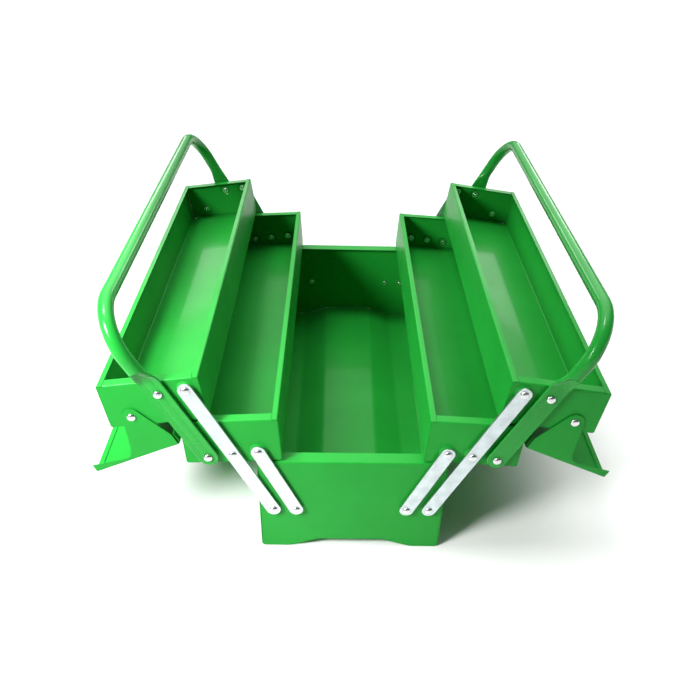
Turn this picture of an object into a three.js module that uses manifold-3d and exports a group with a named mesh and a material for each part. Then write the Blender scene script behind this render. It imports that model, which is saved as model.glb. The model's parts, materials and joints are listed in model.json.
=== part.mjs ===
// Five-tray cantilever toolbox, shown with both sides folded out.
// Millimetres, +Z up. The origin is on the ground under the middle of the base.
// Y runs along the box: the front end faces -Y. X runs across it, out over the trays.

import * as THREE from 'three';
import { mergeVertices } from 'three/addons/utils/BufferGeometryUtils.js';
import { ConvexGeometry } from 'three/addons/geometries/ConvexGeometry.js';
import Module from 'manifold-3d';

const wasm = await Module();
wasm.setup();

// ---------------------------------------------------------------- driving dimensions

// Base box
const BASE_WIDTH = 200;
const BASE_LENGTH = 497;
const BASE_HEIGHT = 129;
const BASE_SHEET = 1.0;
const BASE_CORNER_RADIUS = 4.5;
const BASE_HEM = 7;
const BASE_END_FLANGE = 15;
const FLOOR_LIFT = 11.5;
const FLOOR_FLAT_HALF = 35;
const FLOOR_SLOPE_HALF = 68;

// Trays
const TRAY_SHEET = 0.8;
const TRAY_CORNER_RADIUS = 2;
const TRAY_HEM = 6;
const TRAY_END_FLANGE = 10;
const TRAY_END_INSET = 0.75;
const MID_TRAY_HEIGHT = 54.7;
const TOP_TRAY_HEIGHT = 51.8;
const MID_CENTRE_GAP = 2.1;
const TOP_CENTRE_GAP = 2.7;
const MID_OVERHANG = 1;
const TOP_OVERHANG = 2.8;
const HEM_BEND = 1.2;

// How the trays stand: stacked level when shut, leaning outwards when open
const MID_STACK_GAP = 2.3;
const TOP_STACK_GAP = 3.5;
const MID_OPEN_TILT = 3.32;
const TOP_OPEN_TILT = 7.9;
const MID_OPEN_OVERLAP = 26.4;
const MID_OPEN_REST_GAP = 1.1;

// Pivots, from each tray's inner wall and floor unless the name says otherwise
const BASE_PIVOT_HEIGHT = 62.2;
const MID_PIVOT_HEIGHT = 13.05;
const MID_PIVOT_OFF_CENTRE = -0.35;
const MID_INNER_PIVOT_SPACING = 26.1;
const MID_INNER_PIVOT_HEIGHT = 14.8;
const HANDLE_PIVOT_HEIGHT = 11.1;
const HANDLE_PIVOT_SHIFT = 1.3;
const TOP_PIVOT_INSET = 14.1;
const TOP_PIVOT_SPACING = 26.9;
const TOP_PIVOT_DROP = 0.6;
const COVER_PIVOT_INSET = 24.65;
const COVER_PIVOT_HEIGHT = 12.2;

// Links
const LINK_WIDTH = 15;
const LINK_THICKNESS = 2;

// Rivets
const SHANK_RADIUS = 2;
const HEAD_RADIUS = 4.5;
const HEAD_HEIGHT = 2.6;
const SPACER_RADIUS = 4.4;
const WASHER_RADIUS = 4.6;
const WASHER_THICKNESS = 0.9;
const TAIL_RADIUS = 3;
const TAIL_HEIGHT = 1.3;

// Handles
const TUBE_RADIUS = 7.4;
const TUBE_WALL = 1.3;
const HANDLE_REACH = 96.5;
const HANDLE_CORNER_RADIUS = 47;
const HANDLE_PLATE_WIDTH = 21;
const HANDLE_PLATE_THICKNESS = 2.6;
const HANDLE_PLATE_ABOVE_PIVOT = 13;
const HANDLE_NECK = 10;
const VENT_RADIUS = 1.2;

// Covers
const COVER_SHEET = 0.8;
const COVER_LIFT = 10.4;
const COVER_EAVE_OFFSET = 1.55;
const COVER_EAVE_DEPTH = 14;
const COVER_CENTRE_GAP = 4;
const COVER_SWING = 196.4;
const COVER_EAR_RADIUS = 9.5;
const COVER_EAR_WIDTH = 23.4;
const COVER_EAR_SHOULDER = 13.5;
const COVER_LIP_ROOT = 4.6;
const COVER_LIP_ROOT_FROM_PIVOT = 34;
const COVER_LIP_TIP = 10;
const COVER_HEM = 7;

// Clearances
const GAP = 0.3;
const SHORT_LINK_PLAY = 0.4;
const HANDLE_PLAY = 0.9;
const COVER_AIR = 1.1;
const LINK_AIR = 0.9;

// ---------------------------------------------------------------- derived dimensions

const trayLength = BASE_LENGTH - 2 * TRAY_END_INSET;
const midWidth = BASE_WIDTH / 2 - MID_CENTRE_GAP + MID_OVERHANG;
const topWidth = BASE_WIDTH / 2 - TOP_CENTRE_GAP + TOP_OVERHANG;

// Layers across each end, as distances from the middle plane
const baseFace = BASE_LENGTH / 2;
const trayFace = trayLength / 2;
const coverInside = trayFace + COVER_AIR;
const coverFace = coverInside + COVER_SHEET;
const linkInside = Math.max(baseFace, coverFace) + LINK_AIR;
const linkFace = linkInside + LINK_THICKNESS;
const handleFace = linkInside + HANDLE_PLATE_THICKNESS;
const tubePlane = linkInside + TUBE_RADIUS;

const holeRadius = SHANK_RADIUS + GAP;

// ---------------------------------------------------------------- linkage geometry
// Points are [x, z] across one side. A lean is the angle outwards from straight up.

const radians = THREE.MathUtils.degToRad;
const degrees = THREE.MathUtils.radToDeg;

function turned([x, z], lean) {
  const c = Math.cos(radians(lean));
  const s = Math.sin(radians(lean));
  return [x * c + z * s, z * c - x * s];
}

function added(a, b) {
  return [a[0] + b[0], a[1] + b[1]];
}

function taken(a, b) {
  return [a[0] - b[0], a[1] - b[1]];
}

function span(a, b) {
  return Math.hypot(b[0] - a[0], b[1] - a[1]);
}

function leanOf(from, to) {
  return degrees(Math.atan2(to[0] - from[0], to[1] - from[1]));
}

// The pivot at a given height that is equally far from two places of the same pin.
function pivotBetween(a, b, height) {
  const middle = [(a[0] + b[0]) / 2, (a[1] + b[1]) / 2];
  const slope = (b[1] - a[1]) / (b[0] - a[0]);
  return [middle[0] + slope * (middle[1] - height), height];
}

// Middle tray: its floor clears the base's rim in both positions
const midPin = [midWidth / 2 + MID_PIVOT_OFF_CENTRE, MID_PIVOT_HEIGHT];
const midInnerPin = [midPin[0] - MID_INNER_PIVOT_SPACING, MID_INNER_PIVOT_HEIGHT];
const midShut = [MID_CENTRE_GAP, BASE_HEIGHT + MID_STACK_GAP];
const midOpen = [
  BASE_WIDTH / 2 - MID_OPEN_OVERLAP,
  BASE_HEIGHT + MID_OPEN_REST_GAP + MID_OPEN_OVERLAP * Math.tan(radians(MID_OPEN_TILT)),
];
const midPinShut = added(midShut, midPin);
const midPinOpen = added(midOpen, turned(midPin, MID_OPEN_TILT));
const longPivot = pivotBetween(midPinShut, midPinOpen, BASE_PIVOT_HEIGHT);
const longLean = leanOf(longPivot, midPinOpen);
const longLeanShut = leanOf(longPivot, midPinShut);
const longLower = span(longPivot, midPinOpen);

const innerPinShut = added(midShut, midInnerPin);
const innerPinOpen = added(midOpen, turned(midInnerPin, MID_OPEN_TILT));
const shortPivot = pivotBetween(innerPinShut, innerPinOpen, BASE_PIVOT_HEIGHT);
const shortLean = leanOf(shortPivot, innerPinOpen);
const shortLeanShut = leanOf(shortPivot, innerPinShut);
const shortLength = span(shortPivot, innerPinOpen);

// Top tray: the long link carries it over the middle tray
const topPinShutX = TOP_CENTRE_GAP + TOP_PIVOT_INSET;
const longLength = (longPivot[0] - topPinShutX) / Math.sin(radians(-longLeanShut));
const topPinShut = added(longPivot, turned([0, longLength], longLeanShut));
const topPinOpen = added(longPivot, turned([0, longLength], longLean));
const topShut = [TOP_CENTRE_GAP, midShut[1] + MID_TRAY_HEIGHT + TOP_STACK_GAP];
const topPin = taken(topPinShut, topShut);
const topOuterPin = added(topPin, [TOP_PIVOT_SPACING, -TOP_PIVOT_DROP]);
const coverPin = [topWidth - COVER_PIVOT_INSET, COVER_PIVOT_HEIGHT];

// Handle: hinged on the middle tray, carrying the top tray's second pin. Its own pin is
// set out a little, and the play at the second pin takes up the difference.
const outerPinShut = added(topShut, topOuterPin);
const outerPinOpen = added(topPinOpen, turned(taken(topOuterPin, topPin), TOP_OPEN_TILT));
const evenPin = pivotBetween(
  taken(outerPinShut, midShut),
  turned(taken(outerPinOpen, midOpen), -MID_OPEN_TILT),
  HANDLE_PIVOT_HEIGHT,
);
const handlePin = added(evenPin, [HANDLE_PIVOT_SHIFT, 0]);
const handlePivot = added(midOpen, turned(handlePin, MID_OPEN_TILT));
const handlePivotShut = added(midShut, handlePin);
const handleLean = leanOf(handlePivot, outerPinOpen);
const handleLeanShut = leanOf(handlePivotShut, outerPinShut);
const handlePinSpan =
  (span(handlePivot, outerPinOpen) + span(handlePivotShut, outerPinShut)) / 2;

// Cover: hinged low on the top tray, hanging down outside when open
const coverPivot = added(topPinOpen, turned(taken(coverPin, topPin), TOP_OPEN_TILT));
const coverLean = TOP_OPEN_TILT + COVER_SWING;
const coverTop = TOP_TRAY_HEIGHT - COVER_PIVOT_HEIGHT + COVER_LIFT;
const coverEave = COVER_PIVOT_INSET + COVER_EAVE_OFFSET;
const coverTip = TOP_CENTRE_GAP + coverPin[0] - COVER_CENTRE_GAP;

// ---------------------------------------------------------------- solids

function solidOf(geometry) {
  const bare = geometry.index ? geometry.toNonIndexed() : geometry.clone();
  bare.deleteAttribute('normal');
  bare.deleteAttribute('uv');
  const merged = mergeVertices(bare, 1e-4);
  return new wasm.Manifold(new wasm.Mesh({
    numProp: 3,
    vertProperties: new Float32Array(merged.attributes.position.array),
    triVerts: new Uint32Array(merged.index.array),
  }));
}

function geometryOf(solid) {
  const mesh = solid.getMesh();
  const geometry = new THREE.BufferGeometry();
  geometry.setAttribute('position', new THREE.BufferAttribute(mesh.vertProperties, 3));
  geometry.setIndex(new THREE.BufferAttribute(mesh.triVerts, 1));
  geometry.computeVertexNormals();
  return geometry;
}

function circle(x, z, radius, sides) {
  const points = [];
  for (let i = 0; i < sides; i += 1) {
    const angle = (2 * Math.PI * (i + 0.5)) / sides;
    points.push(new THREE.Vector2(x + radius * Math.cos(angle), z + radius * Math.sin(angle)));
  }
  return points;
}

function arcPoints(x, z, radius, from, to, steps) {
  const points = [];
  for (let i = 0; i <= steps; i += 1) {
    const angle = radians(from + ((to - from) * i) / steps);
    points.push([x + radius * Math.cos(angle), z + radius * Math.sin(angle)]);
  }
  return points;
}

// A flat outline in X and Z, given thickness along Y from y = start.
function acrossY(outline, start, thickness, holes = []) {
  const shape = new THREE.Shape(outline.map(([x, z]) => new THREE.Vector2(x, z)));
  for (const [x, z, radius] of holes) {
    shape.holes.push(new THREE.Path(circle(x, z, radius, 10)));
  }
  const geometry = new THREE.ExtrudeGeometry(shape, { depth: thickness, bevelEnabled: false });
  geometry.rotateX(Math.PI / 2);
  geometry.translate(0, start + thickness, 0);
  return geometry;
}

// A flat outline in Y and Z, given length along X from x = start.
function acrossX(outline, start, length) {
  const shape = new THREE.Shape(outline.map(([y, z]) => new THREE.Vector2(y, z)));
  const geometry = new THREE.ExtrudeGeometry(shape, { depth: length, bevelEnabled: false });
  geometry.applyMatrix4(new THREE.Matrix4().makeBasis(
    new THREE.Vector3(0, 1, 0),
    new THREE.Vector3(0, 0, 1),
    new THREE.Vector3(1, 0, 0),
  ));
  geometry.translate(start, 0, 0);
  return geometry;
}

// One face of a folded sheet: the line through the corners, rounded at each bend and
// moved sideways to the left of its direction. Corners are [x, z, bend radius].
function foldedLine(corners, sideways, steps = 3) {
  const points = [];
  const count = corners.length;
  for (let i = 0; i < count; i += 1) {
    const here = new THREE.Vector2(corners[i][0], corners[i][1]);
    const before = i > 0 ? new THREE.Vector2(corners[i - 1][0], corners[i - 1][1]) : null;
    const after = i < count - 1 ? new THREE.Vector2(corners[i + 1][0], corners[i + 1][1]) : null;
    const arriving = before ? here.clone().sub(before).normalize() : null;
    const leaving = after ? after.clone().sub(here).normalize() : null;
    if (!before || !after) {
      const along = leaving ?? arriving;
      points.push([here.x - along.y * sideways, here.y + along.x * sideways]);
      continue;
    }
    const turn = Math.atan2(arriving.cross(leaving), arriving.dot(leaving));
    const radius = corners[i][2];
    const side = Math.sign(turn);
    const setback = radius * Math.tan(Math.abs(turn) / 2);
    const first = here.clone().addScaledVector(arriving, -setback);
    const centre = first.clone().add(
      new THREE.Vector2(-arriving.y, arriving.x).multiplyScalar(side * radius),
    );
    for (let k = 0; k <= steps; k += 1) {
      const heading = Math.atan2(arriving.y, arriving.x) + (turn * k) / steps;
      const left = new THREE.Vector2(-Math.sin(heading), Math.cos(heading));
      const point = centre.clone().addScaledVector(left, sideways - side * radius);
      points.push([point.x, point.y]);
    }
  }
  return points;
}

function sheetOutline(corners, thickness, steps) {
  const inner = foldedLine(corners, thickness / 2, steps);
  const outer = foldedLine(corners, -thickness / 2, steps);
  return outer.concat(inner.reverse());
}

// A lathed rivet along Y, its head outwards at y = grip and its tail inside y = 0.
// The panel it is closed on is `panel` thick, and a spacer fills up to the moving piece.
function rivetGeometry(panel, movingInside, movingFace) {
  const tailEnd = -GAP - WASHER_THICKNESS - TAIL_HEIGHT;
  const profile = [
    [0, tailEnd],
    [TAIL_RADIUS, tailEnd],
    [TAIL_RADIUS, -GAP - WASHER_THICKNESS],
    [WASHER_RADIUS, -GAP - WASHER_THICKNESS],
    [WASHER_RADIUS, -GAP],
    [SHANK_RADIUS, -GAP],
  ];
  if (movingInside - panel > 3 * GAP) {
    profile.push([SHANK_RADIUS, panel + GAP]);
    profile.push([SPACER_RADIUS, panel + GAP]);
    profile.push([SPACER_RADIUS, movingInside - GAP]);
    profile.push([SHANK_RADIUS, movingInside - GAP]);
  }
  const head = movingFace + GAP;
  profile.push([SHANK_RADIUS, head]);
  profile.push([HEAD_RADIUS, head]);
  profile.push([0.78 * HEAD_RADIUS, head + 0.62 * HEAD_HEIGHT]);
  profile.push([0, head + HEAD_HEIGHT]);
  return new THREE.LatheGeometry(profile.map(([r, y]) => new THREE.Vector2(r, y)), 8);
}

// ---------------------------------------------------------------- materials

function paint() {
  return new THREE.MeshStandardMaterial({ color: 0x22a544, roughness: 0.28, metalness: 0.1 });
}

function darkPaint() {
  return new THREE.MeshStandardMaterial({ color: 0x1c9a3d, roughness: 0.3, metalness: 0.1 });
}

function zinc() {
  return new THREE.MeshStandardMaterial({ color: 0xd9dde0, roughness: 0.32, metalness: 0.9 });
}

function steel() {
  return new THREE.MeshStandardMaterial({ color: 0xc7cacc, roughness: 0.25, metalness: 1 });
}

function named(name, geometry, material) {
  const mesh = new THREE.Mesh(geometry, material);
  mesh.name = name;
  return mesh;
}

// The start of a layer between two distances from the middle plane, at one end.
function layerStart(end, near, far) {
  return end > 0 ? near : -far;
}

// ---------------------------------------------------------------- tray and base sheets

function trayCorners(width, height) {
  const half = TRAY_SHEET / 2;
  return [
    [TRAY_HEM, height - half],
    [half, height - half, HEM_BEND],
    [half, half, TRAY_CORNER_RADIUS],
    [width - half, half, TRAY_CORNER_RADIUS],
    [width - half, height - half, HEM_BEND],
    [width - TRAY_HEM, height - half],
  ];
}

function baseCorners() {
  const half = BASE_SHEET / 2;
  const wall = BASE_WIDTH / 2 - half;
  const top = BASE_HEIGHT - half;
  const lifted = FLOOR_LIFT + half;
  return [
    [BASE_HEM - BASE_WIDTH / 2, top],
    [-wall, top, HEM_BEND],
    [-wall, half, BASE_CORNER_RADIUS],
    [-FLOOR_SLOPE_HALF, half, 18],
    [-FLOOR_FLAT_HALF, lifted, 18],
    [FLOOR_FLAT_HALF, lifted, 18],
    [FLOOR_SLOPE_HALF, half, 18],
    [wall, half, BASE_CORNER_RADIUS],
    [wall, top, HEM_BEND],
    [BASE_WIDTH / 2 - BASE_HEM, top],
  ];
}

// An end panel closes a folded body: a plate inside its walls and floor with a flange
// turned inwards along the top, between the two hems.
function endPanel(corners, sheet, hem, height, face, flange, end, pins) {
  const inside = foldedLine(corners, sheet / 2 + GAP);
  const underHem = height - sheet - GAP;
  const outline = inside.filter(([, z]) => z < underHem);
  const [left] = outline[0];
  const [right] = outline[outline.length - 1];
  outline.unshift([left, underHem]);
  outline.push([right, underHem]);
  const holes = pins.map(([x, z]) => [x, z, holeRadius]);
  const plate = solidOf(acrossY(outline, layerStart(end, face - sheet, face), sheet, holes));

  const half = sheet / 2;
  const turnedIn = [
    [end * (face - half), height - 4 * HEM_BEND],
    [end * (face - half), height - half, HEM_BEND],
    [end * (face - flange), height - half],
  ];
  const lip = sheetOutline(turnedIn, sheet);
  const wall = corners[1][0] - half;
  const start = wall + hem + GAP;
  const length = corners[corners.length - 2][0] + half - hem - GAP - start;
  return geometryOf(plate.add(solidOf(acrossX(lip, start, length))));
}

// ---------------------------------------------------------------- moving pieces

function stadium(length, width, steps) {
  const radius = width / 2;
  return arcPoints(0, length, radius, 0, 180, steps).concat(arcPoints(0, 0, radius, 180, 360, steps));
}

function linkGeometry(length, pinHeights, end) {
  const start = layerStart(end, linkInside, linkFace);
  const holes = pinHeights.map(([height, radius]) => [0, height, radius]);
  return acrossY(stadium(length, LINK_WIDTH, 8), start, LINK_THICKNESS, holes);
}

// A path through given stops, one even step to each.
class StopPath extends THREE.Curve {
  constructor(stops) {
    super();
    this.stops = stops;
  }

  getPoint(t, target = new THREE.Vector3()) {
    const last = this.stops.length - 1;
    const place = Math.min(Math.max(t, 0), 1) * last;
    const index = Math.min(Math.floor(place), last - 1);
    return target.lerpVectors(this.stops[index], this.stops[index + 1], place - index);
  }

  getPointAt(u, target) {
    return this.getPoint(u, target);
  }

  getTangent(t, target = new THREE.Vector3()) {
    const last = this.stops.length - 1;
    const index = Math.round(t * last);
    const here = this.stops[index];
    const arriving = here.clone().sub(this.stops[Math.max(index - 1, 0)]).normalize();
    const leaving = this.stops[Math.min(index + 1, last)].clone().sub(here).normalize();
    return target.copy(arriving.add(leaving)).normalize();
  }

  getTangentAt(u, target) {
    return this.getTangent(u, target);
  }
}

// The middle line of the handle's tube: up one leg, along Y and down the other leg.
function handleStops(footHeight) {
  const corner = HANDLE_CORNER_RADIUS;
  const top = handlePinSpan + HANDLE_REACH;
  const steps = 7;
  const stops = [new THREE.Vector3(0, -tubePlane, footHeight)];
  for (const end of [-1, 1]) {
    for (let k = 0; k <= steps; k += 1) {
      const turn = radians((90 * (end < 0 ? k : steps - k)) / steps);
      const y = end * (tubePlane - corner + corner * Math.cos(turn));
      stops.push(new THREE.Vector3(0, y, top - corner + corner * Math.sin(turn)));
    }
  }
  stops.push(new THREE.Vector3(0, tubePlane, footHeight));
  return stops;
}

function sweptTube(radius, sides, footHeight) {
  const stops = handleStops(footHeight);
  return new THREE.ExtrudeGeometry(new THREE.Shape(circle(0, 0, radius, sides)), {
    steps: stops.length - 1,
    bevelEnabled: false,
    extrudePath: new StopPath(stops),
  });
}

// The corners of one foot of the tube, where the flattened neck takes over.
function footCorners(tube, height, end) {
  const places = tube.attributes.position;
  const found = [];
  for (let i = 0; i < places.count; i += 1) {
    const point = new THREE.Vector3().fromBufferAttribute(places, i);
    if (Math.abs(point.z - height) < 0.01 && point.y * end > 0) {
      found.push(point);
    }
  }
  return found;
}

// The handle stands upright in its own frame, its own pin at the origin. Each leg is
// tube above, pressed flat below for both pins, with a vent hole above the neck.
function handleGeometry() {
  const plateTop = handlePinSpan + HANDLE_PLATE_ABOVE_PIVOT;
  const neckTop = plateTop + HANDLE_NECK;
  const radius = HANDLE_PLATE_WIDTH / 2;
  const tube = sweptTube(TUBE_RADIUS, 12, neckTop);
  const bore = sweptTube(TUBE_RADIUS - TUBE_WALL, 8, neckTop);
  let solid = solidOf(tube);

  for (const end of [-1, 1]) {
    const outline = [
      [radius, plateTop],
      [-radius, plateTop],
      ...arcPoints(0, 0, radius, 180, 360, 10),
    ];
    const holes = [[0, 0, holeRadius], [0, handlePinSpan, holeRadius + HANDLE_PLAY]];
    const start = layerStart(end, linkInside, handleFace);
    const plate = solidOf(acrossY(outline, start, HANDLE_PLATE_THICKNESS, holes));

    const inset = 0.25;
    const near = end * (linkInside + inset);
    const far = end * (handleFace - inset);
    const wide = radius - inset;
    const crimp = [[-wide, near], [wide, near], [wide, far], [-wide, far]];
    const flat = crimp.map(([x, y]) => new THREE.Vector3(x, y, plateTop - 1));
    const neck = solidOf(new ConvexGeometry([...footCorners(tube, neckTop, end), ...flat]));

    const vent = new THREE.CylinderGeometry(VENT_RADIUS, VENT_RADIUS, 3 * TUBE_WALL, 8);
    vent.translate(0, end * (tubePlane - TUBE_RADIUS + TUBE_WALL / 2), neckTop + 3 * VENT_RADIUS);
    solid = solid.add(plate).add(neck).subtract(solidOf(vent));
  }
  return geometryOf(solid.subtract(solidOf(bore)));
}

// The cover lies shut in its own frame: its hinge at the origin, its sheet level above,
// the eave on the outer side and the tip reaching in to the middle of the box.
function coverGeometry() {
  const half = COVER_SHEET / 2;
  const top = coverTop - half;
  const profile = [
    [coverEave - half, coverTop - COVER_EAVE_DEPTH],
    [coverEave - half, top, HEM_BEND],
    [-coverTip, top],
  ];
  let solid = solidOf(acrossY(sheetOutline(profile, COVER_SHEET), -coverFace, 2 * coverFace));

  const hemInside = coverInside;
  const hem = [
    [-coverTip, coverTop - half],
    [-coverTip, coverTop - 2 * COVER_SHEET],
    [-coverTip + COVER_HEM, coverTop - 2 * COVER_SHEET],
    [-coverTip + COVER_HEM, coverTop - half],
  ];
  solid = solid.add(solidOf(acrossY(hem, -hemInside, 2 * hemInside)));

  const eaveFoot = [coverEave, coverTop - COVER_EAVE_DEPTH];
  const shoulder = [-COVER_EAR_WIDTH, coverTop - COVER_EAR_SHOULDER];
  const outerTangent = tangentAngle(eaveFoot, COVER_EAR_RADIUS, -1);
  const innerTangent = tangentAngle(shoulder, COVER_EAR_RADIUS, 1);
  const lipRoot = [-COVER_LIP_ROOT_FROM_PIVOT, coverTop - COVER_LIP_ROOT];
  const ear = [
    eaveFoot,
    [coverEave, coverTop - HEM_BEND],
    [coverEave - HEM_BEND, coverTop - half],
    [-coverTip, coverTop - half],
    [-coverTip, coverTop - COVER_LIP_TIP],
    lipRoot,
    [lipRoot[0] + 0.55 * (shoulder[0] - lipRoot[0]), coverTop - 1.45 * COVER_LIP_ROOT],
    shoulder,
    ...arcPoints(0, 0, COVER_EAR_RADIUS, innerTangent, outerTangent + 360, 9),
  ];
  for (const end of [-1, 1]) {
    const start = layerStart(end, coverInside, coverFace);
    solid = solid.add(solidOf(acrossY(ear, start, COVER_SHEET, [[0, 0, holeRadius]])));
  }
  return geometryOf(solid);
}

// The angle on a circle about the origin where a line from a point touches it.
function tangentAngle([x, z], radius, side) {
  const toPoint = degrees(Math.atan2(z, x));
  const swing = degrees(Math.acos(radius / Math.hypot(x, z)));
  return toPoint + side * swing;
}

// ---------------------------------------------------------------- assembly

const toolbox = new THREE.Group();

function rivetAt(name, [x, z], end, face, sheet, movingInside, movingFace) {
  const inner = face - sheet;
  const geometry = rivetGeometry(sheet, movingInside - inner, movingFace - inner);
  const mesh = named(name, geometry, steel());
  mesh.position.set(x, end * inner, z);
  mesh.rotation.x = end > 0 ? 0 : Math.PI;
  return mesh;
}

function turningGroup(parent, [x, z], lean) {
  const group = new THREE.Group();
  group.position.set(x, 0, z);
  group.rotation.y = radians(lean);
  parent.add(group);
  return group;
}

// Base
const baseLine = baseCorners();
const baseBody = acrossY(sheetOutline(baseLine, BASE_SHEET), -baseFace, BASE_LENGTH);
toolbox.add(named('base_body', baseBody, paint()));
const basePins = [longPivot, shortPivot].flatMap(([x, z]) => [[x, z], [-x, z]]);
for (const [word, end] of [['front', -1], ['rear', 1]]) {
  const panel = endPanel(
    baseLine, BASE_SHEET, BASE_HEM, BASE_HEIGHT, baseFace, BASE_END_FLANGE, end, basePins,
  );
  toolbox.add(named(`base_${word}_end`, panel, paint()));
}

// One tray: a folded body, two end panels, and the rivets its pins name
function addTray(group, prefix, origin, width, height, pins, ends) {
  const corners = trayCorners(width, height).map(([x, z, r]) => [x - origin[0], z - origin[1], r]);
  const body = acrossY(sheetOutline(corners, TRAY_SHEET), -trayFace, trayLength);
  group.add(named(`${prefix}_body`, body, paint()));
  const localPins = pins.map(({ at }) => taken(at, origin));
  for (const [word, end] of ends) {
    const panel = endPanel(
      corners, TRAY_SHEET, TRAY_HEM, height - origin[1], trayFace, TRAY_END_FLANGE, end, localPins,
    );
    group.add(named(`${prefix}_${word}_end`, panel, darkPaint()));
    pins.forEach(({ word: pin, inside, face }, index) => {
      const name = `${prefix}_${word}_${pin}_rivet`;
      group.add(rivetAt(name, localPins[index], end, trayFace, TRAY_SHEET, inside, face));
    });
  }
}

// One side of the box, drawn on +X. The left side is the same, turned about Z.
function addSide(side, turn, ends) {
  const frame = new THREE.Group();
  frame.rotation.z = turn;
  toolbox.add(frame);

  const midTray = turningGroup(frame, midPinOpen, MID_OPEN_TILT);
  addTray(midTray, `${side}_mid_tray`, midPin, midWidth, MID_TRAY_HEIGHT, [
    { word: 'short', at: midInnerPin, inside: linkInside, face: linkFace },
    { word: 'long', at: midPin, inside: linkInside, face: linkFace },
    { word: 'handle', at: handlePin, inside: linkInside, face: handleFace },
  ], ends);

  const topTray = turningGroup(frame, topPinOpen, TOP_OPEN_TILT);
  addTray(topTray, `${side}_top_tray`, topPin, topWidth, TOP_TRAY_HEIGHT, [
    { word: 'long', at: topPin, inside: linkInside, face: linkFace },
    { word: 'handle', at: topOuterPin, inside: linkInside, face: handleFace },
    { word: 'cover', at: coverPin, inside: coverInside, face: coverFace },
  ], ends);

  const longLinks = turningGroup(frame, longPivot, longLean);
  const shortLinks = turningGroup(frame, shortPivot, shortLean);
  const longPins = [[0, holeRadius], [longLower, holeRadius], [longLength, holeRadius]];
  const shortPins = [[0, holeRadius], [shortLength, holeRadius + SHORT_LINK_PLAY]];
  for (const [word, end] of ends) {
    const long = linkGeometry(longLength, longPins, end);
    longLinks.add(named(`${side}_${word}_long_link`, long, zinc()));
    const short = linkGeometry(shortLength, shortPins, end);
    shortLinks.add(named(`${side}_${word}_short_link`, short, zinc()));
    for (const [pin, at] of [['long', longPivot], ['short', shortPivot]]) {
      const name = `base_${side}_${word}_${pin}_rivet`;
      frame.add(rivetAt(name, at, end, baseFace, BASE_SHEET, linkInside, linkFace));
    }
  }

  const handle = turningGroup(frame, handlePivot, handleLean);
  handle.add(named(`${side}_handle`, handleGeometry(), paint()));

  const cover = turningGroup(frame, coverPivot, coverLean);
  cover.add(named(`${side}_cover`, coverGeometry(), paint()));
}

addSide('right', 0, [['front', -1], ['rear', 1]]);
addSide('left', Math.PI, [['rear', -1], ['front', 1]]);

export default toolbox;
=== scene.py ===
import json
import math

import bmesh
import bpy
from mathutils import Matrix, Vector

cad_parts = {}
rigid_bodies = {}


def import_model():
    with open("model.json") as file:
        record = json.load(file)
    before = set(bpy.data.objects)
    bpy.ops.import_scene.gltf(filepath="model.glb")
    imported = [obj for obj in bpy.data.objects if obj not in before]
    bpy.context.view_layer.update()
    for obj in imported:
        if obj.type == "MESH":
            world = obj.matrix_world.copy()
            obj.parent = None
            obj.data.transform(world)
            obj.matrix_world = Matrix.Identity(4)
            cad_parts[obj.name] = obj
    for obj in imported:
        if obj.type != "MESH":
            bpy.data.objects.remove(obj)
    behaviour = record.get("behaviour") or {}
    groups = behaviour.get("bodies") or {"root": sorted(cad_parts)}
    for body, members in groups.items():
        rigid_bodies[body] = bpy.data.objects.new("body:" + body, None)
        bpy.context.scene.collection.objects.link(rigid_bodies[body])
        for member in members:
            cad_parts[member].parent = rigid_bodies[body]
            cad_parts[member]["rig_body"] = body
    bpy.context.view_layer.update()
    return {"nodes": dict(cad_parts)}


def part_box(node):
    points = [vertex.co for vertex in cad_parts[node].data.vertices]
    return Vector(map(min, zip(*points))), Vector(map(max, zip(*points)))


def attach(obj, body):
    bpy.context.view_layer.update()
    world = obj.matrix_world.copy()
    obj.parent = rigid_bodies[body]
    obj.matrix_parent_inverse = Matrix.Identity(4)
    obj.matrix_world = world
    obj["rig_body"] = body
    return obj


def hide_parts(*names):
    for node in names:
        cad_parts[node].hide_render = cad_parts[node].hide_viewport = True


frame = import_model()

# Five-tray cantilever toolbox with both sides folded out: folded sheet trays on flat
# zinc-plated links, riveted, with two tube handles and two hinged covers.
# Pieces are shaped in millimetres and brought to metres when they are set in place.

MM = 0.001

# ------------------------------------------------------------------ sizes of the sheets

BASE_WIDTH = 200
BASE_HEIGHT = 129
BASE_SHEET = 1.0
BASE_CORNER = 4.5
BASE_HEM = 7
BASE_FLANGE = 15
FLOOR_LIFT = 11.5
FLOOR_FLAT = 35
FLOOR_SLOPE = 68
FLOOR_BEND = 18

TRAY_SHEET = 0.8
TRAY_CORNER = 2
TRAY_HEM = 6
TRAY_FLANGE = 10
PANEL_SLIP = 0.1
DRAIN_RADIUS = 1.1
DRAIN_INSET = 5
MID_WIDTH = 98.9
MID_HEIGHT = 54.7
TOP_WIDTH = 100.1
TOP_HEIGHT = 51.8
HEM_BEND = 1.2
SHOULDER_DROP = 0.4
FLAP_DRAFT = 0.35

MID_TILT = 3.32
TOP_TILT = 7.9

# Pins in each tray's own frame, from the foot of its inner wall
MID_PINS = {"short": (23.0, 14.8), "long": (49.1, 13.05), "handle": (74.6115, 11.1)}
TOP_PINS = {"long": (14.1, 39.8491), "handle": (41.0, 39.2491), "cover": (75.45, 12.2)}

LINK_WIDTH = 15
LINK_THICKNESS = 2

TUBE_RADIUS = 7.4
HANDLE_REACH = 96.5
HANDLE_CORNER = 47
PLATE_WIDTH = 21
PLATE_THICKNESS = 2.6
PLATE_ABOVE_PIN = 13
PLATE_EDGE_ANGLE = 31.5
FACE_SUNK = 0.3
GROOVE_SUNK = 0.62
GROOVE_FROM, GROOVE_TO = 0.4, 0.55
CRIMP_LENGTH = 23
UPPER_HOLE_SLACK = 0.9

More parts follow.
